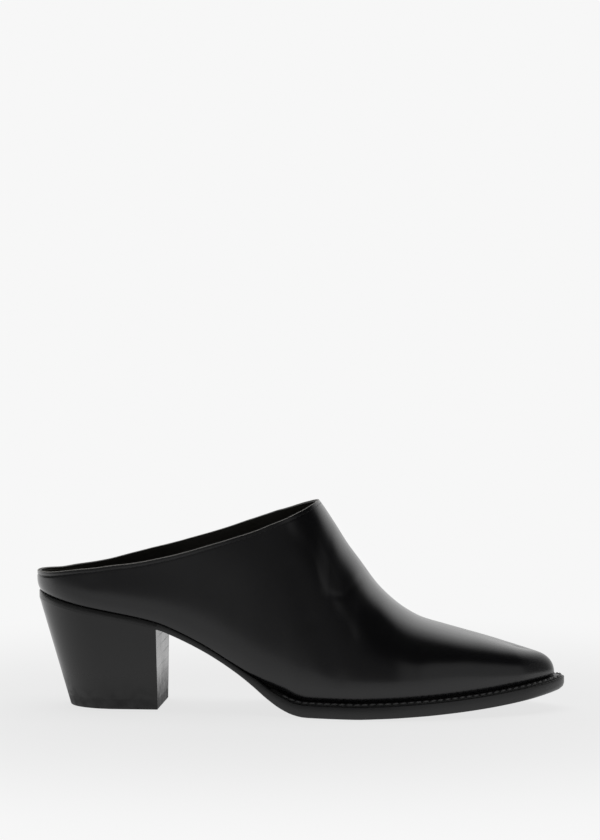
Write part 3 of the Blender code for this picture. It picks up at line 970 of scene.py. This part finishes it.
fade = add(tree, "ShaderNodeMapRange", interpolation_type="SMOOTHSTEP")
fade.inputs["From Min"].default_value = 0.10
fade.inputs["From Max"].default_value = 0.40
fade.inputs["To Min"].default_value = 0.80
split = add(tree, "ShaderNodeSeparateXYZ")
dim = add(tree, "ShaderNodeMapRange", interpolation_type="SMOOTHSTEP")
dim.inputs["From Min"].default_value = -0.20
dim.inputs["From Max"].default_value = 0.10
dim.inputs["To Min"].default_value = FLOOR_IN_FRONT
dim.inputs["To Max"].default_value = 1.0
seen = add(tree, "ShaderNodeLightPath")
bright = add(tree, "ShaderNodeMath", operation="MAXIMUM")
tree.links.new(place.outputs["Object"], split.inputs[0])
tree.links.new(split.outputs["Y"], dim.inputs["Value"])
tree.links.new(dim.outputs[0], bright.inputs[0])
tree.links.new(seen.outputs["Is Camera Ray"], bright.inputs[1])
tree.links.new(bright.outputs[0], glow.inputs["Strength"])
tree.links.new(place.outputs["Object"], reach.inputs[0])
tree.links.new(reach.outputs["Value"], fade.inputs["Value"])
tree.links.new(fade.outputs[0], blend.inputs[0])
tree.links.new(matt.outputs[0], blend.inputs[1])
tree.links.new(glow.outputs[0], blend.inputs[2])
tree.links.new(blend.outputs[0], tree.nodes["Material Output"].inputs["Surface"])
floor_mesh.materials.append(paper)

# %% White behind, a soft box on the right and a dark front
world = bpy.data.worlds.new("soft_studio")
bpy.context.scene.world = world
world.use_nodes = True
tree = world.node_tree
tree.nodes.clear()
sky = add(tree, "ShaderNodeBackground")
backdrop = add(tree, "ShaderNodeBackground")
backdrop.inputs["Color"].default_value = (WHITE, WHITE, WHITE, 1.0)
rays = add(tree, "ShaderNodeLightPath")
choose = add(tree, "ShaderNodeMixShader")
out = add(tree, "ShaderNodeOutputWorld")
direction = add(tree, "ShaderNodeTexCoord")
split = add(tree, "ShaderNodeSeparateXYZ")
tree.links.new(direction.outputs["Generated"], split.inputs[0])


def ramp(source, low, high, strength):
    """A soft step from nothing to a strength."""
    node = add(tree, "ShaderNodeMapRange", interpolation_type="SMOOTHSTEP")
    node.inputs["From Min"].default_value = low
    node.inputs["From Max"].default_value = high
    node.inputs["To Min"].default_value = 0.0
    node.inputs["To Max"].default_value = strength
    tree.links.new(source, node.inputs["Value"])
    return node.outputs[0]


def total(first, second):
    node = add(tree, "ShaderNodeMath", operation="ADD")
    tree.links.new(first, node.inputs[0])
    tree.links.new(second, node.inputs[1])
    return node.outputs[0]


def product(first, second):
    node = add(tree, "ShaderNodeMath", operation="MULTIPLY")
    tree.links.new(first, node.inputs[0])
    tree.links.new(second, node.inputs[1])
    return node.outputs[0]


behind = ramp(split.outputs["Y"], 0.35, 0.85, 0.93)
low_front = ramp(split.outputs["Z"], 0.75, 0.35, 0.13)
right = product(ramp(split.outputs["X"], 0.20, 0.42, 0.34), ramp(split.outputs["Z"], 0.70, 0.54, 1.0))
right_front = product(right, ramp(split.outputs["Y"], 0.05, -0.25, 1.0))
around = total(total(behind, low_front), right_front)
tree.links.new(around, sky.inputs["Strength"])
tree.links.new(rays.outputs["Is Camera Ray"], choose.inputs[0])
tree.links.new(sky.outputs[0], choose.inputs[1])
tree.links.new(backdrop.outputs[0], choose.inputs[2])
tree.links.new(choose.outputs[0], out.inputs["Surface"])


def soft_light(name, spot, aim, wide, high, power):
    data = bpy.data.lights.new(name, "AREA")
    data.shape = "RECTANGLE"
    data.size = wide
    data.size_y = high
    data.energy = power
    lamp = bpy.data.objects.new(name, data)
    lamp.location = spot
    lamp.rotation_euler = (Vector(aim) - Vector(spot)).to_track_quat("-Z", "Y").to_euler()
    bpy.context.scene.collection.objects.link(lamp)
    return lamp


overhead = soft_light("overhead", (0.0, 0.35, 1.6), (0.0, 0.0, 0.05), 1.6, 1.2, 10.0)
overhead.visible_glossy = False
print("lights:", len(bpy.data.lights))

# %% [markdown]
# ## The camera
#
# The photograph was taken from the outer side, a little from the toe's end and a little from above, with a long
# lens. The camera aims above the shoe, which leaves the free space over it as in the picture.

# %% The camera at the photograph's angle
TURN, TILT, DISTANCE = math.radians(5.0), math.radians(4.0), 2.0
AIM = Vector((0.0, 0.0, 0.1405))
PIXEL = 0.000487
offset = Vector((math.sin(TURN) * math.cos(TILT), -math.cos(TURN) * math.cos(TILT), math.sin(TILT)))
eye_data = bpy.data.cameras.new("camera")
eye_data.sensor_width = 36.0
eye_data.lens = DISTANCE / PIXEL * eye_data.sensor_width / 840.0
eye_data.clip_end = 50.0
eye = bpy.data.objects.new("camera", eye_data)
eye.location = AIM + offset * DISTANCE
eye.rotation_euler = (-offset).to_track_quat("-Z", "Y").to_euler()
bpy.context.scene.collection.objects.link(eye)
bpy.context.scene.camera = eye
bpy.context.scene.view_settings.view_transform = "Standard"
print(f"lens {eye_data.lens:.0f} mm at {DISTANCE:.1f} m")
